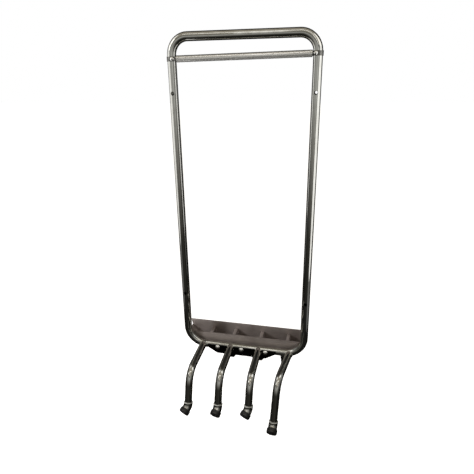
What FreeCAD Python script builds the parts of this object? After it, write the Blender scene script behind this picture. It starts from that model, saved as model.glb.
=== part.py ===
"""Wall-hung clothing rack: a bent tube loop with a sliding hang bar, a divided tray and four hook arms.

Bench frame used below: X to the right, Y from the viewer towards the wall, Z up, with the origin on the
bottom bar's centre-line, midway between the uprights. Every piece is moved to the part's own frame, whose
origin is the middle of the four wall fixings on the plane behind the uprights, as it is written out.
All sizes are in millimetres.
"""
import FreeCAD
import Part

import math
import os

from FreeCAD import Vector

# Tube loop
LOOP_WIDTH = 510.0            # between the centre-lines of the two uprights
LOOP_HEIGHT = 1247.0          # between the centre-lines of the bottom and top bars
TUBE_R = 16.0
TUBE_WALL = 1.5
TOP_BEND_R = 60.0             # all bend radii are those of the centre-line
BOTTOM_BEND_R = 80.0

# Wall fixings: a screw passes the rear wall of the upright, and its head goes in through the front hole
FIXING_LOW_Z = 250.0
FIXING_HIGH_Z = 1060.0
SCREW_HOLE_R = 4.5
ACCESS_HOLE_R = 7.0

# Hang bar on two tee clamps, which slide on the uprights
HANG_BAR_DROP = 68.0          # below the top bar's centre-line
HANG_BAR_R = 11.5
HANG_BAR_WALL = 1.5
HANG_BAR_TILT = 0.85          # degrees, right end up
CLAMP_R = 17.8
CLAMP_HEIGHT = 16.0
CLAMP_BORE_R = 16.3
SPIGOT_FOOT = 17.0            # from the upright's axis to where the spigot starts, inside the sleeve
SPIGOT_REACH = 44.0           # from the upright's axis to the spigot's tip, inside the bar
BAR_START = 18.4              # from the upright's axis to the bar's end
BOSS_R = 7.0
BOSS_TURN = 22.0              # degrees the boss and its screw look inward from straight ahead
BOSS_REACH = 21.0
CLAMP_SCREW_R = 3.0
CLAMP_SCREW_HEAD_R = 7.0
CLAMP_SCREW_HEAD_H = 4.5

# Tray behind the bottom bar
SHEET = 1.5
TRAY_EDGE = 12.0              # the tray's outline lies this far outside the loop's centre-line
TRAY_DEPTH = 60.0
TRAY_LIP_Z = 45.0
TRAY_BACK_Z = 72.0
LIP_RETURN = 6.0
REAR_FLANGE = 12.0
DIVIDER_XS = (-151.0, -48.0, 72.0, 189.0)
DIVIDER_FLANGE = 12.0
DIVIDER_PLAY = 0.2
RIVET_XS = (-165.0, -100.0, 10.0, 120.0, 165.0)
RIVET_R = 2.0
RIVET_HEAD_R = 4.0
RIVET_HEAD_H = 1.4

# Scalloped plate in front of the bottom bar, with its three bolts
PLATE_THICK = 5.0
PLATE_X = -12.0               # the plate's middle, a little left of the rack's middle
PLATE_TOP_HALF = 152.0
PLATE_FOOT_HALF = 108.0
PLATE_TOP_Z = 10.0
PLATE_END_Z = -2.0
PLATE_FOOT_Z = -29.0
PLATE_LEG_Z = -42.0
PLATE_LEG_TOP_HALF = 26.0
PLATE_LEG_FOOT_HALF = 18.0
PLATE_CORNER_R = 7.0
PLATE_END_R = 3.0
BOLT_PITCH = 106.0
BOLT_R = 4.0
BOLT_HEAD_R = 11.5
BOLT_HEAD_H = 8.0
NUT_FLATS = 13.0
NUT_H = 6.5
WASHER_R = 9.0
WASHER_H = 1.5
BOLT_END = 4.0                # thread showing past the nut

# Hook arms: place along the bar, yaw of the arm, length of its level run and of its drop
ARM_ROOTS = ((-186.0, 0.0, 153.0, 72.0),
             (-62.0, 0.0, 153.0, 61.0),
             (62.0, 0.0, 153.0, 50.0),
             (196.0, -8.0, 143.0, 108.0))
ARM_R = 15.0
ARM_BEND_R = 70.0
DROP_SLOPE = 73.6             # degrees below level
GUSSET_FOOT = 22.0            # triangle in the inner corner between the bar and the last arm
GUSSET_LENGTH = 62.0
GUSSET_THICK = 5.0

# Swivelling tips
TIP_TURNS = (32.0, 14.0, 30.0, -4.0)  # degrees about each drop, as the rack is shown
TIP_R = 18.0
TIP_WALL = 2.0
TIP_SLOPE = 28.0
TIP_BEND_R = 28.0
TIP_NECK = 3.0                # straight lengths of the elbow before and after its bend
TIP_REACH = 14.0
BUSH_FLANGE_R = 18.5
BUSH_FLANGE_H = 2.4
BUSH_LENGTH = 30.0
STEM_R = 7.0
STEM_PLAY = 0.05
STEM_PLUG_H = 3.0
STEM_HEAD_H = 6.0
SWIVEL_GAP = 0.4
CLIP_GROOVE_R = 5.6
CLIP_R = 10.5
CLIP_H = 1.2
CLIP_MOUTH = 6.0
CAP_R = 21.0
CAP_H = 8.0
CAP_CROWN = 2.5
CAP_DISH = 1.0                # the face sits this deep inside its rim
CAP_SKIRT = 11.0              # the cap's outer wall comes this far back over the elbow
CAP_PLUG_H = 10.0

# Working clearances
FIT = 0.2
BOLT_HOLE_R = BOLT_R + FIT

X_AXIS = Vector(1, 0, 0)
Y_AXIS = Vector(0, 1, 0)
Z_AXIS = Vector(0, 0, 1)
ORIGIN = Vector(0, 0, 0)
UPRIGHT_X = LOOP_WIDTH / 2
ARM_BORE_R = ARM_R - TUBE_WALL
TIP_BORE_R = TIP_R - TIP_WALL
TO_PART_FRAME = Vector(0, -TUBE_R, -(FIXING_LOW_Z + FIXING_HIGH_Z) / 2)
BOLT_XS = tuple(PLATE_X + step * BOLT_PITCH for step in (-1, 0, 1))


def write(name, *solids):
    """Move a piece from the bench frame to the part's frame and write it as one node."""
    shape = solids[0] if len(solids) == 1 else Part.makeCompound(list(solids))
    shape = shape.copy()
    shape.translate(TO_PART_FRAME)
    shape.exportStep("parts/" + name + ".step")


def rod(radius, start, end):
    """Round bar from one point to another."""
    along = end - start
    return Part.makeCylinder(radius, along.Length, start, along)


def bent_rod(corners, bend_radii, radius, closed=False):
    """Round bar along straight runs, with a tangent arc at each corner."""
    count = len(corners)
    turning = range(count) if closed else range(1, count - 1)
    run_start = {}
    run_end = {}
    pieces = []
    for i in turning:
        before = (corners[i] - corners[i - 1]).normalize()
        after = (corners[(i + 1) % count] - corners[i]).normalize()
        turn = before.getAngle(after)
        setback = bend_radii[i] * math.tan(turn / 2)
        run_end[i] = corners[i] - before * setback
        run_start[i] = corners[i] + after * setback
        axis = before.cross(after).normalize()
        centre = run_end[i] + axis.cross(before) * bend_radii[i]
        disc = Part.Face(Part.Wire(Part.makeCircle(radius, run_end[i], before)))
        pieces.append(disc.revolve(centre, axis, math.degrees(turn)))
    for i in range(count if closed else count - 1):
        following = (i + 1) % count
        start = run_start.get(i, corners[i])
        end = run_end.get(following, corners[following])
        pieces.append(rod(radius, start, end))
    return pieces[0].multiFuse(pieces[1:]).removeSplitter()


def bent_tube(corners, bend_radii, radius, wall):
    outside = bent_rod(corners, bend_radii, radius)
    return outside.cut(bent_rod(corners, bend_radii, radius - wall))


def turned(profile, start, along):
    """Solid of revolution: profile points are (radius, distance along the axis from start)."""
    points = [Vector(radius, 0, distance) for radius, distance in profile]
    face = Part.Face(Part.makePolygon(points + points[:1]))
    solid = face.revolve(ORIGIN, Z_AXIS, 360)
    solid.Placement = FreeCAD.Placement(start, FreeCAD.Rotation(Z_AXIS, along))
    return solid


def dome(radius, height, start, along):
    """Low domed head: a slice of a sphere standing on a flat face."""
    ball_r = (radius ** 2 + height ** 2) / (2 * height)
    ball = Part.makeSphere(ball_r, start + along * (height - ball_r))
    return ball.common(rod(2 * radius, start, start + along * (height + 1)))


# ---------------------------------------------------------------- tube loop

def loop_rod(radius):
    """The loop as a solid bar of the given radius."""
    corners = [Vector(-UPRIGHT_X, 0, 0), Vector(UPRIGHT_X, 0, 0),
               Vector(UPRIGHT_X, 0, LOOP_HEIGHT), Vector(-UPRIGHT_X, 0, LOOP_HEIGHT)]
    bends = [BOTTOM_BEND_R, BOTTOM_BEND_R, TOP_BEND_R, TOP_BEND_R]
    return bent_rod(corners, bends, radius, closed=True)


def frame_loop():
    loop = loop_rod(TUBE_R).cut(loop_rod(TUBE_R - TUBE_WALL))
    past_tube = Y_AXIS * (TUBE_R + 1)
    for x in (-UPRIGHT_X, UPRIGHT_X):
        for z in (FIXING_LOW_Z, FIXING_HIGH_Z):
            axis_point = Vector(x, 0, z)
            loop = loop.cut(rod(SCREW_HOLE_R, axis_point, axis_point + past_tube))
            loop = loop.cut(rod(ACCESS_HOLE_R, axis_point, axis_point - past_tube))
    for x in BOLT_XS:
        axis_point = Vector(x, 0, 0)
        loop = loop.cut(rod(BOLT_HOLE_R, axis_point - past_tube, axis_point + past_tube))
    return loop


# ---------------------------------------------------------------- hang bar

TILT = math.radians(HANG_BAR_TILT)
BAR_ALONG = Vector(math.cos(TILT), 0, math.sin(TILT))
BAR_Z = LOOP_HEIGHT - HANG_BAR_DROP


def clamp_centre(side):
    """Where the hang bar's axis meets an upright's; side is -1 on the left and 1 on the right."""
    return Vector(side * UPRIGHT_X, 0, BAR_Z + side * UPRIGHT_X * math.tan(TILT))


def boss_ahead(side):
    """Direction of a clamp's boss and screw: to the front and a little inward."""
    turn = math.radians(BOSS_TURN)
    return Vector(-side * math.sin(turn), -math.cos(turn), 0)


def hang_bar():
    start = clamp_centre(-1) + BAR_ALONG * BAR_START
    end = clamp_centre(1) - BAR_ALONG * BAR_START
    return rod(HANG_BAR_R, start, end).cut(rod(HANG_BAR_R - HANG_BAR_WALL, start, end))


def bar_clamp(side):
    """Slim sleeve round an upright, with a spigot inside the hang bar and a boss for the screw."""
    centre = clamp_centre(side)
    inward = BAR_ALONG * -side
    half = Z_AXIS * (CLAMP_HEIGHT / 2)
    sleeve = rod(CLAMP_R, centre - half, centre + half)
    spigot_r = HANG_BAR_R - HANG_BAR_WALL
    spigot = rod(spigot_r, centre + inward * SPIGOT_FOOT, centre + inward * SPIGOT_REACH)
    spigot = spigot.common(rod(SPIGOT_REACH * 2, centre - half, centre + half))
    ahead = boss_ahead(side)
    boss = rod(BOSS_R, centre, centre + ahead * BOSS_REACH)
    body = sleeve.multiFuse([spigot, boss])
    body = body.cut(rod(CLAMP_BORE_R, centre - half * 2, centre + half * 2))
    return body.cut(rod(CLAMP_SCREW_R + FIT / 2, centre, centre + ahead * BOSS_REACH))


def clamp_screw(side):
    centre = clamp_centre(side)
    ahead = boss_ahead(side)
    tip = centre + ahead * (CLAMP_BORE_R + FIT / 2)
    seat = centre + ahead * BOSS_REACH
    head = dome(CLAMP_SCREW_HEAD_R, CLAMP_SCREW_HEAD_H, seat, ahead)
    return rod(CLAMP_SCREW_R, tip, seat).fuse(head)


# ---------------------------------------------------------------- tray

TRAY_FRONT_Y = TUBE_R
TRAY_REAR_Y = TRAY_FRONT_Y + TRAY_DEPTH
TRAY_FLOOR_Z = SHEET - TRAY_EDGE


def tray_block(edge, front_y, rear_y, top_z):
    """Block with the loop's rounded foot as its outline, edge outside the loop's centre-line."""
    half = UPRIGHT_X + edge
    radius = BOTTOM_BEND_R + edge
    rear = rear_y - front_y
    block = Part.makeBox(2 * half, rear, top_z + edge, Vector(-half, front_y, -edge))
    for side in (-1, 1):
        centre = Vector(side * (half - radius), front_y, radius - edge)
        corner_x = side * half if side < 0 else half - radius
        square = Part.makeBox(radius, rear, radius, Vector(corner_x, front_y, -edge))
        block = block.cut(square.cut(rod(radius, centre, centre + Y_AXIS * rear)))
    return block


def tray_pan():
    """Floor, rounded ends and front wall in one sheet, with a return at the lip and a rear flange."""
    inner = TRAY_EDGE - SHEET
    pan = tray_block(TRAY_EDGE, TRAY_FRONT_Y, TRAY_REAR_Y, TRAY_LIP_Z)
    pan = pan.cut(tray_block(inner, TRAY_FRONT_Y + SHEET, TRAY_REAR_Y + 1, TRAY_LIP_Z + 1))
    flange = tray_block(inner, TRAY_REAR_Y - SHEET, TRAY_REAR_Y, TRAY_LIP_Z)
    window = tray_block(inner - REAR_FLANGE, TRAY_FRONT_Y, TRAY_REAR_Y + 1, TRAY_LIP_Z + 1)
    lip_foot = Part.makeBox(LOOP_WIDTH * 2, TRAY_DEPTH * 2, LOOP_HEIGHT,
                            Vector(-LOOP_WIDTH, 0, TRAY_LIP_Z - SHEET))
    lip = tray_block(inner, TRAY_FRONT_Y + SHEET, TRAY_FRONT_Y + SHEET + LIP_RETURN, TRAY_LIP_Z)
    pan = pan.multiFuse([flange.cut(window), lip.common(lip_foot)]).removeSplitter()
    for x in BOLT_XS:
        start = Vector(x, TRAY_FRONT_Y - 1, 0)
        pan = pan.cut(rod(BOLT_HOLE_R, start, start + Y_AXIS * (SHEET + 2)))
    return pan.cut(rivet_holes())


RIVET_Z = TRAY_FLOOR_Z + REAR_FLANGE / 2


def rivet_holes():
    rear = TRAY_REAR_Y + 2 * SHEET
    holes = [rod(RIVET_R, Vector(x, TRAY_REAR_Y - 2 * SHEET, RIVET_Z), Vector(x, rear, RIVET_Z))
             for x in RIVET_XS]
    return Part.makeCompound(holes)


def tray_back():
    return tray_block(TRAY_EDGE, TRAY_REAR_Y, TRAY_REAR_Y + SHEET, TRAY_BACK_Z).cut(rivet_holes())


def tray_rivet(x):
    """Rivet through the pan's rear flange and the back sheet, with a low domed head at each end."""
    front = Vector(x, TRAY_REAR_Y - SHEET, RIVET_Z)
    rear = Vector(x, TRAY_REAR_Y + SHEET, RIVET_Z)
    heads = [dome(RIVET_HEAD_R, RIVET_HEAD_H, front, -Y_AXIS),
             dome(RIVET_HEAD_R, RIVET_HEAD_H, rear, Y_AXIS)]
    return rod(RIVET_R, front, rear).multiFuse(heads)


def divider(x):
    """Upright sheet across the tray, folded to the left along its top and its foot."""
    front = TRAY_FRONT_Y + SHEET + DIVIDER_PLAY
    rear = TRAY_REAR_Y - SHEET - DIVIDER_PLAY
    top_z = TRAY_LIP_Z - SHEET - DIVIDER_PLAY
    length = rear - front
    web = Part.makeBox(SHEET, length, top_z - TRAY_FLOOR_Z, Vector(x, front, TRAY_FLOOR_Z))
    fold_x = x - DIVIDER_FLANGE
    foot = Part.makeBox(DIVIDER_FLANGE, length, SHEET, Vector(fold_x, front, TRAY_FLOOR_Z))
    top = Part.makeBox(DIVIDER_FLANGE + SHEET, length, SHEET, Vector(fold_x, front, top_z - SHEET))
    folded = web.multiFuse([foot, top]).removeSplitter()
    return folded.common(tray_block(TRAY_EDGE - SHEET, front, rear, top_z))


# ---------------------------------------------------------------- bolted plate

PLATE_FRONT_Y = -TUBE_R - PLATE_THICK


def rounded_wire(corners):
    """Closed wire through the corners, given as (point, radius), with a tangent arc at each one."""
    edges = []
    arc_ends = []
    count = len(corners)
    for i in range(count):
        corner, radius = corners[i]
        back = (corners[i - 1][0] - corner).normalize()
        ahead = (corners[(i + 1) % count][0] - corner).normalize()
        half_angle = back.getAngle(ahead) / 2
        setback = radius / math.tan(half_angle)
        inward = (back + ahead).normalize()
        start = corner + back * setback
        middle = corner + inward * (radius / math.sin(half_angle) - radius)
        end = corner + ahead * setback
        edges.append(Part.Arc(start, middle, end).toShape())
        arc_ends.append((start, end))
    for i in range(count):
        edges.append(Part.makeLine(arc_ends[i - 1][1], arc_ends[i][0]))
    return Part.Wire(Part.sortEdges(edges)[0])


def arm_plate():
    """Plate bolted to the bar, with a leg under each of the two middle arms, which it cradles."""
    cradled = [root[0] for root in ARM_ROOTS[1:3]]
    left = PLATE_X - PLATE_TOP_HALF
    right = PLATE_X + PLATE_TOP_HALF
    outline = [(left, PLATE_TOP_Z, PLATE_END_R), (left, PLATE_END_Z, PLATE_END_R),
               (PLATE_X - PLATE_FOOT_HALF, PLATE_FOOT_Z, PLATE_CORNER_R)]
    for x in cradled:
        outline += [(x - PLATE_LEG_TOP_HALF, PLATE_FOOT_Z, PLATE_CORNER_R),
                    (x - PLATE_LEG_FOOT_HALF, PLATE_LEG_Z, PLATE_CORNER_R),
                    (x + PLATE_LEG_FOOT_HALF, PLATE_LEG_Z, PLATE_CORNER_R),
                    (x + PLATE_LEG_TOP_HALF, PLATE_FOOT_Z, PLATE_CORNER_R)]
    outline += [(PLATE_X + PLATE_FOOT_HALF, PLATE_FOOT_Z, PLATE_CORNER_R),
                (right, PLATE_END_Z, PLATE_END_R), (right, PLATE_TOP_Z, PLATE_END_R)]
    wire = rounded_wire([(Vector(x, PLATE_FRONT_Y, z), radius) for x, z, radius in outline])
    plate = Part.Face(wire).extrude(Y_AXIS * PLATE_THICK)
    behind = Y_AXIS * PLATE_THICK * 2
    seat_r = ARM_R + FIT
    for x in cradled:
        seat = Vector(x, PLATE_FRONT_Y - PLATE_THICK / 2, 0)
        plate = plate.cut(rod(seat_r, seat, seat + behind))
        plate = plate.cut(Part.makeBox(2 * seat_r, behind.y, PLATE_TOP_HALF, seat - X_AXIS * seat_r))
    for x in BOLT_XS:
        start = Vector(x, PLATE_FRONT_Y - 1, 0)
        plate = plate.cut(rod(BOLT_HOLE_R, start, start + behind))
    return plate


NUT_FACE_Y = TRAY_FRONT_Y + SHEET + WASHER_H


def plate_bolts():
    bolts = []
    for x in BOLT_XS:
        seat = Vector(x, PLATE_FRONT_Y, 0)
        shank = rod(BOLT_R, seat, Vector(x, NUT_FACE_Y + NUT_H + BOLT_END, 0))
        bolts.append(shank.fuse(dome(BOLT_HEAD_R, BOLT_HEAD_H, seat, -Y_AXIS)))
    return bolts


def plate_washers():
    rings = []
    for x in BOLT_XS:
        face = Vector(x, NUT_FACE_Y - WASHER_H, 0)
        rear = face + Y_AXIS * WASHER_H
        rings.append(rod(WASHER_R, face, rear).cut(rod(BOLT_HOLE_R, face, rear)))
    return rings


def plate_nuts():
    nuts = []
    corner_r = NUT_FLATS / math.sqrt(3)
    for x in BOLT_XS:
        face = Vector(x, NUT_FACE_Y, 0)
        turns = [math.pi / 3 * step for step in range(6)]
        rim = [face + Vector(math.cos(turn), 0, math.sin(turn)) * corner_r for turn in turns]
        blank = Part.Face(Part.makePolygon(rim + rim[:1])).extrude(Y_AXIS * NUT_H)
        nuts.append(blank.cut(rod(BOLT_R + STEM_PLAY, face, face + Y_AXIS * NUT_H)))
    return nuts


# ---------------------------------------------------------------- hook arms and swivelling tips

def heading(slope):
    """Direction in an arm's own plane, pointing at the viewer and slope degrees below level."""
    angle = math.radians(slope)
    return Vector(0, -math.cos(angle), -math.sin(angle))


DROP_ALONG = heading(DROP_SLOPE)
TIP_ALONG = heading(TIP_SLOPE)
ARM_SETBACK = ARM_BEND_R * math.tan(math.radians(DROP_SLOPE) / 2)


def arm_bend(run):
    """Corner of the arm's centre-line, where the level run would meet the drop."""
    return Vector(0, -run - ARM_SETBACK, 0)


def arm_end(run, drop):
    return arm_bend(run) + DROP_ALONG * (ARM_SETBACK + drop)


def at_root(shape, root_x, yaw):
    """Take a piece from an arm's own plane to its place along the bar."""
    shape = shape.copy()
    shape.rotate(ORIGIN, Z_AXIS, yaw)
    shape.translate(X_AXIS * root_x)
    return shape


def hook_arm(root_x, yaw, run, drop):
    """Bent tube with its root shaped to sit on the bottom bar."""
    arm = bent_tube([ORIGIN, arm_bend(run), arm_end(run, drop)], [0, ARM_BEND_R, 0], ARM_R, TUBE_WALL)
    return at_root(arm, root_x, yaw).cut(loop_rod(TUBE_R))


def arm_gusset(root_x, yaw):
    """Triangle welded in the inner corner between the bar and the arm that hangs lowest."""
    half = Z_AXIS * (GUSSET_THICK / 2)
    foot_x = -ARM_R - GUSSET_FOOT
    tip_y = -TUBE_R - GUSSET_LENGTH
    corners = [ORIGIN, Vector(foot_x, 0, 0), Vector(foot_x, -TUBE_R, 0), Vector(-ARM_R, tip_y, 0),
               Vector(0, tip_y, 0)]
    corners = [corner - half for corner in corners]
    sheet = Part.Face(Part.makePolygon(corners + corners[:1])).extrude(half * 2)
    tube = rod(ARM_R, ORIGIN, Y_AXIS * (tip_y - 1))
    return at_root(sheet.cut(tube), root_x, yaw).cut(loop_rod(TUBE_R))


def bush(end):
    """Flanged bush pressed into the arm's lower end; its flange is the ring that shows."""
    bore = STEM_R + STEM_PLAY
    profile = [(bore, -BUSH_LENGTH), (ARM_BORE_R, -BUSH_LENGTH), (ARM_BORE_R, 0), (BUSH_FLANGE_R, 0),
               (BUSH_FLANGE_R, BUSH_FLANGE_H), (bore, BUSH_FLANGE_H)]
    return turned(profile, end, DROP_ALONG)


TIP_MOUTH = BUSH_FLANGE_H + SWIVEL_GAP      # the elbow's mouth, below the arm's end
CLIP_SEAT = -BUSH_LENGTH - SWIVEL_GAP       # the clip's lower face, above the bush


def tip_stem(end):
    """Turned pin on a plug in the elbow's mouth, with a groove for the clip near its top."""
    head = CLIP_SEAT - CLIP_H
    profile = [(0, head - STEM_HEAD_H), (STEM_R, head - STEM_HEAD_H), (STEM_R, head), (CLIP_GROOVE_R, head),
               (CLIP_GROOVE_R, CLIP_SEAT), (STEM_R, CLIP_SEAT), (STEM_R, TIP_MOUTH), (TIP_BORE_R, TIP_MOUTH),
               (TIP_BORE_R, TIP_MOUTH + STEM_PLUG_H), (0, TIP_MOUTH + STEM_PLUG_H)]
    return turned(profile, end, DROP_ALONG)


def tip_clip(end):
    """Open ring in the stem's groove, which keeps the tip from dropping out."""
    lower = end + DROP_ALONG * CLIP_SEAT
    upper = lower - DROP_ALONG * CLIP_H
    ring = rod(CLIP_R, upper, lower).cut(rod(CLIP_GROOVE_R, upper, lower))
    mouth = Part.makeBox(CLIP_MOUTH, CLIP_R * 2, CLIP_H * 4, Vector(-CLIP_MOUTH / 2, 0, -CLIP_H * 2))
    mouth.Placement = FreeCAD.Placement(upper, FreeCAD.Rotation(Z_AXIS, DROP_ALONG)).multiply(mouth.Placement)
    return ring.cut(mouth)


TIP_SETBACK = TIP_BEND_R * math.tan(math.radians(DROP_SLOPE - TIP_SLOPE) / 2)


def tip_corner(end):
    """Where the elbow's two straight lengths would meet."""
    return end + DROP_ALONG * (TIP_MOUTH + TIP_NECK + TIP_SETBACK)


def tip_face(end):
    """Centre of the elbow's outer end, before the tip is turned."""
    return tip_corner(end) + TIP_ALONG * (TIP_SETBACK + TIP_REACH)


def tip_elbow(end):
    mouth = end + DROP_ALONG * TIP_MOUTH
    return bent_tube([mouth, tip_corner(end), tip_face(end)], [0, TIP_BEND_R, 0], TIP_R, TIP_WALL)


def tip_cap(end):
    """Round cap with a skirt over the elbow's end, a plug inside it and a dished face."""
    dish_r = CAP_R - 2 * CAP_CROWN
    dish_h = CAP_H - CAP_DISH
    profile = [(0, -CAP_PLUG_H), (TIP_BORE_R, -CAP_PLUG_H), (TIP_BORE_R, 0), (TIP_R, 0),
               (TIP_R, -CAP_SKIRT), (CAP_R - CAP_CROWN / 2, -CAP_SKIRT), (CAP_R, CAP_CROWN - CAP_SKIRT),
               (CAP_R, CAP_H - CAP_CROWN), (CAP_R - CAP_CROWN, CAP_H), (dish_r, CAP_H),
               (dish_r - CAP_DISH, dish_h), (0, dish_h)]
    return turned(profile, tip_face(end), TIP_ALONG)


def on_tip(shape, end, turn):
    """Swivel a piece of the tip about the arm's drop."""
    shape = shape.copy()
    shape.rotate(end, DROP_ALONG, turn)
    return shape


def main():
    os.makedirs("parts", exist_ok=True)
    write("frame_loop", frame_loop())
    write("hang_bar", hang_bar())
    for side, word in ((-1, "left"), (1, "right")):
        write(word + "_bar_clamp", bar_clamp(side))
        write(word + "_clamp_screw", clamp_screw(side))
    write("tray_pan", tray_pan())
    write("tray_back", tray_back())
    for number, x in enumerate(RIVET_XS, 1):
        write("tray_rivet_%d" % number, tray_rivet(x))
    for number, x in enumerate(DIVIDER_XS, 1):
        write("tray_divider_%d" % number, divider(x))
    write("arm_plate", arm_plate())
    write("plate_bolts", *plate_bolts())
    write("plate_washers", *plate_washers())
    write("plate_nuts", *plate_nuts())
    for number, (root, turn) in enumerate(zip(ARM_ROOTS, TIP_TURNS), 1):
        root_x, yaw, run, drop = root
        end = arm_end(run, drop)
        write("arm_%d" % number, hook_arm(root_x, yaw, run, drop))
        write("arm_bush_%d" % number, at_root(bush(end), root_x, yaw))
        if yaw:
            write("arm_%d_gusset" % number, arm_gusset(root_x, yaw))
        for word, piece in (("stem", tip_stem), ("clip", tip_clip), ("elbow", tip_elbow), ("cap", tip_cap)):
            write("tip_%s_%d" % (word, number), at_root(on_tip(piece(end), end, turn), root_x, yaw))


main()
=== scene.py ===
import math

import bpy
from mathutils import Matrix, Vector


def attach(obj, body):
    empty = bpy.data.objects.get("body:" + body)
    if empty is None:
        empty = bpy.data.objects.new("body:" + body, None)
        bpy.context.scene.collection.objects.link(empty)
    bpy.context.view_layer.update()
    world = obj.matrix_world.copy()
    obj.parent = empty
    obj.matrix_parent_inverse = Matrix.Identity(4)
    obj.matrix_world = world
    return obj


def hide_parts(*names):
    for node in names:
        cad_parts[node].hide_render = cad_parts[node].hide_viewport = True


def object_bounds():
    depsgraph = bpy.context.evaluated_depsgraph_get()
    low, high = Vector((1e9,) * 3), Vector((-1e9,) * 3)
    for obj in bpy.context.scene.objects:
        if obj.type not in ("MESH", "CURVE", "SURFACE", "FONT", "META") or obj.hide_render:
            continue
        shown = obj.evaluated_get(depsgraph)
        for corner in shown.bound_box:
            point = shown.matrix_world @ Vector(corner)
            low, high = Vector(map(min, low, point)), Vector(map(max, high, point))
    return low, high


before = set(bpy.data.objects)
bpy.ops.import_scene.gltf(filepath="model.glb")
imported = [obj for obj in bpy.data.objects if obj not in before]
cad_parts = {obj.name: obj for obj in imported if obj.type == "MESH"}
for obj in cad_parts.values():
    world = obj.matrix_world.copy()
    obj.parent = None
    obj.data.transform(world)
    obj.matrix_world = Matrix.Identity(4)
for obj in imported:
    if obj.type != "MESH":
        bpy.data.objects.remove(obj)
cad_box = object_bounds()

# ---------------------------------------------------------------- camera and room
# The rack hangs on its wall fixings, so the floor lies some way below the tips of its arms. The camera stands
# a little to its right and looks down. The room is pale, with soft light from the sides, ahead and above.

CAMERA_AT = Vector((0.3182, -1.5531, 0.4543))
CAMERA_YAW = math.radians(12.68)
CAMERA_DOWN = math.radians(20.59)
CAMERA_ROLL = math.radians(-0.81)
SENSOR_MM = 36.0
LENS_MM = 32.12

camera = bpy.data.objects.new("studio_camera", bpy.data.cameras.new("studio_camera"))
camera.data.sensor_width = SENSOR_MM
camera.data.lens = LENS_MM
camera.data.clip_start = 0.01
turned = Matrix.Rotation(CAMERA_YAW, 4, "Z") @ Matrix.Rotation(math.pi / 2 - CAMERA_DOWN, 4, "X")
camera.matrix_world = Matrix.Translation(CAMERA_AT) @ turned @ Matrix.Rotation(CAMERA_ROLL, 4, "Z")
bpy.context.scene.collection.objects.link(camera)
bpy.context.scene.camera = camera
bpy.context.scene.view_settings.view_transform = "Standard"


def node(tree, kind, settings, links):
    """Adds one node. Settings are attributes or input values; links go from (node, output) to an input."""
    made = tree.nodes.new("ShaderNode" + kind)
    for name, value in settings.items():
        if isinstance(name, int) or name in made.inputs:
            made.inputs[name].default_value = value
        else:
            setattr(made, name, value)
    for name, (source, output) in links.items():
        tree.links.new(source.outputs[output], made.inputs[name])
    return made


def linear(colour):
    """An sRGB hex colour as linear RGBA."""
    shares = [int(colour[i:i + 2], 16) / 255 for i in (0, 2, 4)]
    return [*(s / 12.92 if s <= 0.04045 else ((s + 0.055) / 1.055) ** 2.4 for s in shares), 1.0]


def banded(tree, source, output, low, high, stops):
    """Colours laid along a value that runs from low to high; stops are (value, sRGB hex)."""
    share = node(tree, "MapRange", {"From Min": low, "From Max": high}, {"Value": (source, output)})
    ramp = node(tree, "ValToRGB", {}, {"Fac": (share, "Result")})
    elements = ramp.color_ramp.elements
    while len(elements) < len(stops):
        elements.new(0.5)
    for element, (value, colour) in zip(elements, stops):
        element.position = (value - low) / (high - low)
        element.color = linear(colour)
    return ramp


# Polished steel shows its room more than itself. Here it mirrors a warm grey ceiling that is dark behind the
# rack, and a tent of cloth that is pale above and dark near the floor. The camera sees white instead of both.
CEILING_BANDS = ((-1.0, "1E1D1B"), (-0.1, "2B2B29"), (0.3, "A09B90"), (1.0, "BBB4A6"))
DARK_FROM_Y = -0.1
DARK_TO_Y = 0.35
DARKEST_SHARE = 0.1
room = bpy.data.worlds.new("pale_room")
bpy.context.scene.world = room
room.use_nodes = True
tree = room.node_tree
tree.nodes.clear()
sky = node(tree, "TexCoord", {}, {})
height = node(tree, "SeparateXYZ", {}, {"Vector": (sky, "Generated")})
ceiling = banded(tree, height, "Z", -1.0, 1.0, CEILING_BANDS)
darker = {"From Min": DARK_FROM_Y, "From Max": DARK_TO_Y, "To Min": 1.0, "To Max": DARKEST_SHARE}
behind = node(tree, "MapRange", darker, {"Value": (height, "Y")})
dimmed = node(tree, "VectorMath", {"operation": "SCALE"},
              {0: (ceiling, "Color"), "Scale": (behind, "Result")})
path = node(tree, "LightPath", {}, {})
seen = node(tree, "Mix", {"data_type": "RGBA", 7: (1.0, 1.0, 1.0, 1.0)},
            {0: (path, "Is Camera Ray"), 6: (dimmed, "Vector")})
ground = node(tree, "Background", {"Strength": 1.0}, {"Color": (seen, 2)})
node(tree, "OutputWorld", {}, {"Surface": (ground, "Background")})

TENT_R = 2.2
TENT_FOOT = -1.9
TENT_TOP = 1.1
TENT_PANELS = 96
TENT_GLOW = 3.0
# The cloth's shade by height, and by degrees to the right from straight in front of the rack.
TENT_BANDS = ((TENT_FOOT, "262523"), (-1.0, "34332F"), (-0.6, "605F5B"), (-0.1, "91908C"), (0.35, "BABAB7"),
              (0.75, "BABAB7"), (0.9, "3C3C3A"), (TENT_TOP, "2A2A28"))
TENT_SIDES = ((-180, "3A3A3A"), (-140, "444444"), (-95, "707070"), (-50, "7C7C7C"), (-32, "A4A4A4"),
              (-18, "A0A0A0"), (4, "909090"), (14, "C8C8C8"), (26, "A4A4A4"), (42, "808080"), (95, "747474"),
              (140, "444444"), (180, "3A3A3A"))
bpy.ops.object.select_all(action="DESELECT")
bpy.ops.mesh.primitive_cylinder_add(vertices=TENT_PANELS, radius=TENT_R, depth=TENT_TOP - TENT_FOOT,
                                    end_fill_type="NOTHING", location=(0, 0, (TENT_TOP + TENT_FOOT) / 2))
tent = bpy.context.object
tent.name = "studio_tent"
bpy.ops.object.transform_apply(location=True, rotation=True, scale=True)
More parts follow.
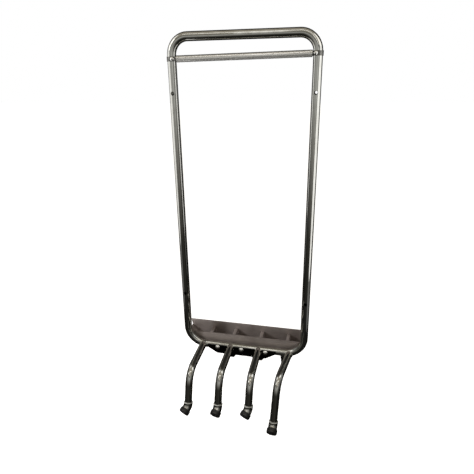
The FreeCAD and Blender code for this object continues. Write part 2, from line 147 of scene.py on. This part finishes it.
for unseen_by in ("visible_camera", "visible_diffuse", "visible_shadow", "visible_transmission"):
    setattr(tent, unseen_by, False)
cloth = bpy.data.materials.new("lit_tent_cloth")
cloth.use_nodes = True
tree = cloth.node_tree
tree.nodes.clear()
spot = node(tree, "TexCoord", {}, {})
height = node(tree, "SeparateXYZ", {}, {"Vector": (spot, "Object")})
shade = banded(tree, height, "Z", TENT_FOOT, TENT_TOP, TENT_BANDS)
front = node(tree, "Math", {"operation": "MULTIPLY", 1: -1.0}, {0: (height, "Y")})
angle = node(tree, "Math", {"operation": "ARCTAN2"}, {0: (height, "X"), 1: (front, "Value")})
degrees = node(tree, "Math", {"operation": "DEGREES"}, {0: (angle, "Value")})
side = banded(tree, degrees, "Value", -180, 180, TENT_SIDES)
woven = node(tree, "VectorMath", {"operation": "MULTIPLY"}, {0: (shade, "Color"), 1: (side, "Color")})
glow = node(tree, "Emission", {"Strength": TENT_GLOW}, {"Color": (woven, "Vector")})
node(tree, "OutputMaterial", {}, {"Surface": (glow, "Emission")})
tent.data.materials.append(cloth)

# The floor is matt white and glows a little, so no horizon shows. Polished parts don't mirror it.
FLOOR_DROP = 0.42
FLOOR_SIDE = 60.0
FLOOR_GLOW = 0.85
bpy.ops.object.select_all(action="DESELECT")
bpy.ops.mesh.primitive_plane_add(size=FLOOR_SIDE, location=(0, 0, cad_box[0][2] - FLOOR_DROP))
floor = bpy.context.object
floor.name = "pale_floor"
floor.visible_glossy = False
paint = bpy.data.materials.new("matt_white_floor")
paint.use_nodes = True
tree = paint.node_tree
tree.nodes.clear()
chalk = node(tree, "BsdfDiffuse", {"Color": linear("F7F7F5")}, {})
glow = node(tree, "Emission", {"Color": linear("FFFFFF"), "Strength": FLOOR_GLOW}, {})
both = node(tree, "AddShader", {}, {0: (chalk, "BSDF"), 1: (glow, "Emission")})
node(tree, "OutputMaterial", {}, {"Surface": (both, "Shader")})
floor.data.materials.append(paint)

# Each panel: name, place, what it faces, width, height, watts, and what it lights. The oval cards beside the
# uprights are seen only in gloss. The tray lamp lights only what is matt and throws the dividers' shadows.
PANELS = (("overhead_strip", (0.1, -1.15, 1.8), (0, 0, -0.3), 2.2, 0.16, 2.4, "all"),
          ("left_panel", (-1.75, -1.25, 1.0), (0, 0, 0.25), 0.3, 1.2, 4.5, "all"),
          ("tray_lamp", (-1.5, -0.75, 0.3), (0.0, 0.03, -0.65), 0.2, 0.2, 32.0, "matt"),
          ("front_strip", (-0.3, -2.0, 1.5), (-0.1, 0, -0.5), 0.42, 1.3, 1.15, "all"),
          ("right_panel", (0.95, -1.9, 1.1), (0.2, 0, 0.2), 0.16, 1.2, 1.5, "all"),
          ("left_card", (-0.42, -0.1, 0.3), (0, -0.1, 0.3), 0.24, 1.1, 0.76, "gloss"),
          ("left_low_card", (-0.42, -0.1, -0.34), (0, -0.1, -0.34), 0.22, 0.5, 0.05, "gloss"),
          ("right_card", (0.42, -0.1, 0.24), (0, -0.1, 0.24), 0.24, 1.25, 1.05, "gloss"),
          ("right_low_card", (0.42, -0.1, -0.42), (0, -0.1, -0.42), 0.22, 0.45, 0.05, "gloss"))
for name, place, faces, width, tall, watts, lights in PANELS:
    light = bpy.data.lights.new(name, "AREA")
    light.shape = "ELLIPSE" if lights == "gloss" else "RECTANGLE"
    light.size = width
    light.size_y = tall
    light.energy = watts
    panel = bpy.data.objects.new(name, light)
    panel.location = place
    panel.rotation_euler = (Vector(faces) - Vector(place)).to_track_quat("-Z", "Y").to_euler()
    panel.visible_camera = False
    panel.visible_diffuse = lights != "gloss"
    panel.visible_glossy = lights != "matt"
    bpy.context.scene.collection.objects.link(panel)

# ---------------------------------------------------------------- tube loop
# One length of 32 mm steel tube bent at four corners and butt-welded into a loop, then nickel-chrome plated.
# Plated tube mirrors its room in long stripes, a little broken by the polishing lines that run round it and
# by handling marks.


def metal(name, colour, roughness):
    """A metal with its average colour and roughness; returns the material, its tree and the shader."""
    made = bpy.data.materials.new(name)
    made.use_nodes = True
    tree = made.node_tree
    tree.nodes.clear()
    settings = {"Metallic": 1.0, "Base Color": linear(colour), "Roughness": roughness}
    shader = node(tree, "BsdfPrincipled", settings, {})
    node(tree, "OutputMaterial", {}, {"Surface": (shader, "BSDF")})
    return made, tree, shader


# Nickel-chrome plate: a near mirror, clouded in patches by handling, with a faint wave left by the polishing.
SMUDGE_MM = 35.0
POLISH_LINE_MM = 0.8           # real lines are finer; this is the finest that shows
POLISH_WAVE_MM = 22.0
chrome, tree, shader = metal("nickel_chrome_plated_tube", "CFCFCB", 0.07)
place = node(tree, "TexCoord", {}, {})
smudge = node(tree, "TexNoise", {"Scale": 1000 / SMUDGE_MM, "Detail": 5.0, "Roughness": 0.6},
              {"Vector": (place, "Object")})
haze = node(tree, "MapRange", {"From Min": 0.42, "From Max": 0.72, "To Min": 0.05, "To Max": 0.2},
            {"Value": (smudge, 0)})
tree.links.new(haze.outputs["Result"], shader.inputs["Roughness"])
aged = node(tree, "Mix", {"data_type": "RGBA", 6: linear("D2D2CE"), 7: linear("A9A79F")}, {0: (smudge, 0)})
tree.links.new(aged.outputs[2], shader.inputs["Base Color"])
lines = node(tree, "TexNoise", {"Scale": 1000 / POLISH_LINE_MM, "Detail": 2.0}, {"Vector": (place, "Object")})
skin = node(tree, "Bump", {"Strength": 0.03, "Distance": 0.0002}, {"Height": (lines, 0)})
wave = node(tree, "TexNoise", {"Scale": 1000 / POLISH_WAVE_MM, "Detail": 1.0}, {"Vector": (place, "Object")})
dents = node(tree, "Bump", {"Strength": 0.08, "Distance": 0.001},
             {"Height": (wave, 0), "Normal": (skin, "Normal")})
tree.links.new(dents.outputs["Normal"], shader.inputs["Normal"])


def wears(finish, *names):
    """Gives CAD pieces their material."""
    for name in names:
        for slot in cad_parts[name].material_slots:
            slot.material = finish


wears(chrome, "frame_loop")

# ---------------------------------------------------------------- hang bar and its clamps
# A 23 mm plated tube held between two cast sleeves that slide on the uprights. Each sleeve has a boss that
# looks a little inward, and a domed screw in it locks the sleeve.


def mottled(tree, shader, grain_mm, detail, smooth, rough):
    """Gloss that changes from patch to patch; returns the noise behind it."""
    place = node(tree, "TexCoord", {}, {})
    size = {"Scale": 1000 / grain_mm, "Detail": detail}
    grain = node(tree, "TexNoise", size, {"Vector": (place, "Object")})
    gloss = node(tree, "MapRange", {"To Min": smooth, "To Max": rough}, {"Value": (grain, 0)})
    tree.links.new(gloss.outputs["Result"], shader.inputs["Roughness"])
    return grain


def pitted(tree, shader, relief, strength, depth):
    """Fine relief under a finish."""
    bump = node(tree, "Bump", {"Strength": strength, "Distance": depth}, {"Height": (relief, 0)})
    tree.links.new(bump.outputs["Normal"], shader.inputs["Normal"])


# Chrome on a raw casting: darker than the tube, with soft pores.
CAST_PORE_MM = 3.0
dark_chrome, tree, shader = metal("dull_chrome_casting", "6E6D69", 0.26)
cast = mottled(tree, shader, CAST_PORE_MM, 4.0, 0.16, 0.42)
pitted(tree, shader, cast, 0.15, 0.0003)

# Screw heads polished on a wheel: small bright points of light.
HEAD_RUB_MM = 2.0
bright, tree, shader = metal("polished_screw_head", "E9E8E4", 0.1)
mottled(tree, shader, HEAD_RUB_MM, 3.0, 0.06, 0.22)

# Drawn tube under a thinner plate: faint lines run along it and soften what it mirrors.
DRAWN_LINE_MM = 2.4
DRAWN_STRETCH = 50.0
drawn, tree, shader = metal("drawn_chrome_bar", "EFEEEB", 0.18)
shader.inputs["Metallic"].default_value = 0.85
place = node(tree, "TexCoord", {}, {})
along = node(tree, "Mapping", {"Scale": (1 / DRAWN_STRETCH, 1.0, 1.0)}, {"Vector": (place, "Object")})
score = node(tree, "TexNoise", {"Scale": 1000 / DRAWN_LINE_MM, "Detail": 2.0}, {"Vector": (along, "Vector")})
soft = node(tree, "MapRange", {"From Min": 0.35, "From Max": 0.65, "To Min": 0.1, "To Max": 0.24},
            {"Value": (score, 0)})
tree.links.new(soft.outputs["Result"], shader.inputs["Roughness"])
tone = node(tree, "Mix", {"data_type": "RGBA", 6: linear("F2F1EE"), 7: linear("C9C7C2")}, {0: (score, 0)})
tree.links.new(tone.outputs[2], shader.inputs["Base Color"])
wears(drawn, "hang_bar")

MERGE_MM = 0.002
FLAT_DEGREES = 0.5
SHARP_DEGREES = 38
SMOOTH_DEGREES = 32


def eased(name, body, finish, width_mm):
    """A CAD piece again, with its sharp edges eased as a press, a file or a mould leaves them."""
    piece = bpy.data.objects.new("eased_" + name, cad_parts[name].data.copy())
    bpy.context.scene.collection.objects.link(piece)
    bpy.ops.object.select_all(action="DESELECT")
    piece.select_set(True)
    bpy.context.view_layer.objects.active = piece
    bpy.ops.mesh.customdata_custom_splitnormals_clear()
    bpy.ops.object.mode_set(mode="EDIT")
    bpy.ops.mesh.select_all(action="SELECT")
    bpy.ops.mesh.remove_doubles(threshold=MERGE_MM / 1000)
    bpy.ops.mesh.dissolve_limited(angle_limit=math.radians(FLAT_DEGREES))
    bpy.ops.object.mode_set(mode="OBJECT")
    bevel = piece.modifiers.new("eased", "BEVEL")
    bevel.width = width_mm / 1000
    bevel.segments = 2
    bevel.limit_method = "ANGLE"
    bevel.angle_limit = math.radians(SHARP_DEGREES)
    bevel.use_clamp_overlap = True
    bpy.ops.object.modifier_apply(modifier="eased")
    bpy.ops.object.shade_smooth_by_angle(angle=math.radians(SMOOTH_DEGREES))
    piece.data.materials.clear()
    piece.data.materials.append(finish)
    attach(piece, body)
    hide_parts(name)


for side in ("left", "right"):
    eased(side + "_bar_clamp", "hang_bar_unit", dark_chrome, 0.8)
    wears(bright, side + "_clamp_screw")

# ---------------------------------------------------------------- tray
# Folded from 1.5 mm stainless sheet: a pan whose ends follow the loop's bottom corners, a taller back and
# four dividers. Five rivets hold the back to the pan.

# Brushed sheet with some stain on it: dull and warm, with the grain along the rack.
GRAIN_MM = 0.7                 # across the brushing; real grit is finer than can be seen from here
GRAIN_LENGTH = 45.0            # a scratch is this many times longer than it is wide
STAIN_MM = 60.0
sheet, tree, shader = metal("brushed_stainless_sheet", "BDB2AD", 0.45)
shader.inputs["Metallic"].default_value = 0.6
shader.inputs["Anisotropic"].default_value = 0.45
place = node(tree, "TexCoord", {}, {})
along = node(tree, "Mapping", {"Scale": (1 / GRAIN_LENGTH, 1.0, 1.0)}, {"Vector": (place, "Object")})
grain = node(tree, "TexNoise", {"Scale": 1000 / GRAIN_MM, "Detail": 3.0}, {"Vector": (along, "Vector")})
stain = node(tree, "TexNoise", {"Scale": 1000 / STAIN_MM, "Detail": 4.0}, {"Vector": (place, "Object")})
mixed = node(tree, "Math", {"operation": "ADD"}, {0: (grain, 0), 1: (stain, 0)})
tint = node(tree, "MapRange", {"From Min": 0.6, "From Max": 1.4}, {"Value": (mixed, "Value")})
shade = node(tree, "Mix", {"data_type": "RGBA", 6: linear("8B817D"), 7: linear("B7ADA9")},
             {0: (tint, "Result")})
tree.links.new(shade.outputs[2], shader.inputs["Base Color"])
rough = node(tree, "MapRange", {"From Min": 0.6, "From Max": 1.4, "To Min": 0.38, "To Max": 0.56},
             {"Value": (mixed, "Value")})
tree.links.new(rough.outputs["Result"], shader.inputs["Roughness"])
pitted(tree, shader, grain, 0.12, 0.0002)

for name in ("tray_pan", "tray_back", "tray_divider_1", "tray_divider_2", "tray_divider_3", "tray_divider_4"):
    eased(name, "rack", sheet, 0.45)

# Zinc plate on rivets, washers, nuts and the tips' stems: pale, with small dull spangles.
SPANGLE_MM = 1.6
zinc, tree, shader = metal("zinc_plated_steel", "B9BDBF", 0.34)
place = node(tree, "TexCoord", {}, {})
spangle = node(tree, "TexVoronoi", {"Scale": 1000 / SPANGLE_MM}, {"Vector": (place, "Object")})
dull = node(tree, "MapRange", {"To Min": 0.26, "To Max": 0.5}, {"Value": (spangle, "Distance")})
tree.links.new(dull.outputs["Result"], shader.inputs["Roughness"])
wears(zinc, "tray_rivet_1", "tray_rivet_2", "tray_rivet_3", "tray_rivet_4", "tray_rivet_5")

# ---------------------------------------------------------------- plate and its bolts
# A 5 mm steel plate on the front of the bottom bar, with a scalloped lower edge. Three bolts with polished
# domed heads pass through the plate, the bar and the tray's lip to washers and nuts.

# Nearly black metal, with scuffs that catch a little light.
SCUFF_MM = 9.0
plate_finish, tree, shader = metal("near_black_plate_metal", "2C2C2B", 0.3)
mottled(tree, shader, SCUFF_MM, 6.0, 0.2, 0.45)
eased("arm_plate", "rack", plate_finish, 0.7)
wears(bright, "plate_bolts")
wears(zinc, "plate_washers", "plate_nuts")

# ---------------------------------------------------------------- hook arms
# 30 mm plated tubes, bent once and welded to the front of the bottom bar. The fourth stands askew, with a
# gusset in its inner corner.

wears(chrome, "arm_1", "arm_2", "arm_3", "arm_4")
eased("arm_4_gusset", "rack", plate_finish, 0.6)

BAR_R = 0.016
BAR_AXIS_Y = -BAR_R
BAR_AXIS_Z = -0.655
ARM_R = 0.015
PLATE_THICK = 0.005
PLATE_FACE_Y = BAR_AXIS_Y - BAR_R - PLATE_THICK
BEAD_R = 0.0021
BEAD_OUT = 0.35                # share of the bead's radius that its middle stands outside the arm
RIPPLES = 34
RIPPLE_DEPTH = 0.012
WOBBLES = 7
WOBBLE_DEPTH = 0.01

# The weld under its plate: dull, rough and rippled.
CRUST_MM = 1.2
weld, tree, shader = metal("plated_weld_bead", "8F8E89", 0.3)
place = node(tree, "TexCoord", {}, {})
scale = node(tree, "TexNoise", {"Scale": 1000 / CRUST_MM, "Detail": 3.0}, {"Vector": (place, "Object")})
pitted(tree, shader, scale, 0.4, 0.0004)


def bead(name, axis_x, yaw, on_plate):
    """Weld bead round an arm: a full ring on the bar, or the lower half of one on the plate's face."""
    bpy.ops.object.select_all(action="DESELECT")
    bpy.ops.mesh.primitive_torus_add(major_segments=4 * RIPPLES, minor_segments=12, minor_radius=BEAD_R,
                                     major_radius=ARM_R + BEAD_R * BEAD_OUT, rotation=(math.pi / 2, 0, 0))
    piece = bpy.context.object
    piece.name = name
    bpy.ops.object.transform_apply(location=True, rotation=True, scale=True)
    if on_plate:
        bpy.ops.object.mode_set(mode="EDIT")
        bpy.ops.mesh.select_all(action="SELECT")
        bpy.ops.mesh.bisect(plane_co=(0, 0, 0), plane_no=(0, 0, 1), clear_outer=True, use_fill=True)
        bpy.ops.object.mode_set(mode="OBJECT")
    for corner in piece.data.vertices:
        around = math.atan2(corner.co.z, corner.co.x)
        ripple = 1 + RIPPLE_DEPTH * math.sin(RIPPLES * around) + WOBBLE_DEPTH * math.sin(WOBBLES * around + 1)
        corner.co.x *= ripple
        corner.co.z *= ripple
        if not on_plate:
            corner.co.y -= math.sqrt(max(BAR_R ** 2 - corner.co.z ** 2, 0))
    face = Vector((axis_x, PLATE_FACE_Y if on_plate else BAR_AXIS_Y, BAR_AXIS_Z))
    piece.data.transform(Matrix.Translation(face) @ Matrix.Rotation(math.radians(yaw), 4, "Z"))
    bpy.ops.object.shade_smooth()
    piece.data.materials.append(weld)
    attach(piece, "rack")


bead("arm_1_weld", -0.186, 0, False)
bead("arm_2_weld", -0.062, 0, True)
bead("arm_3_weld", 0.062, 0, True)
bead("arm_4_weld", 0.196, -8, False)

# ---------------------------------------------------------------- swivelling tips
# Each arm ends in a pale nylon bush whose flange shows as a thin ring. A plated elbow turns below it on a
# steel stem with a clip, and a moulded cap closes the elbow.


def plastic(name, colour, ior, flow_mm, smooth, rough, relief):
    """A moulded plastic whose skin changes gloss, and stands up by relief, where the melt flowed."""
    made = bpy.data.materials.new(name)
    made.use_nodes = True
    tree = made.node_tree
    tree.nodes.clear()
    shader = node(tree, "BsdfPrincipled", {"Base Color": linear(colour), "IOR": ior}, {})
    flow = mottled(tree, shader, flow_mm, 3.0, smooth, rough)
    if relief:
        pitted(tree, shader, flow, relief, 0.0002)
    node(tree, "OutputMaterial", {}, {"Surface": (shader, "BSDF")})
    return made


# Pale grey nylon with a satin skin, and a black cap that shines where the mould was polished.
NYLON_FLOW_MM = 1.5
CAP_FLOW_MM = 0.9
nylon = plastic("pale_moulded_nylon", "9C9C97", 1.53, NYLON_FLOW_MM, 0.35, 0.55, 0)
moulded = plastic("dark_moulded_cap", "131312", 1.52, CAP_FLOW_MM, 0.22, 0.42, 0.1)

for number in (1, 2, 3, 4):
    eased("arm_bush_%d" % number, "rack", nylon, 0.5)
    wears(zinc, "tip_stem_%d" % number, "tip_clip_%d" % number)
    wears(chrome, "tip_elbow_%d" % number)
    eased("tip_cap_%d" % number, "tip_%d" % number, moulded, 0.7)
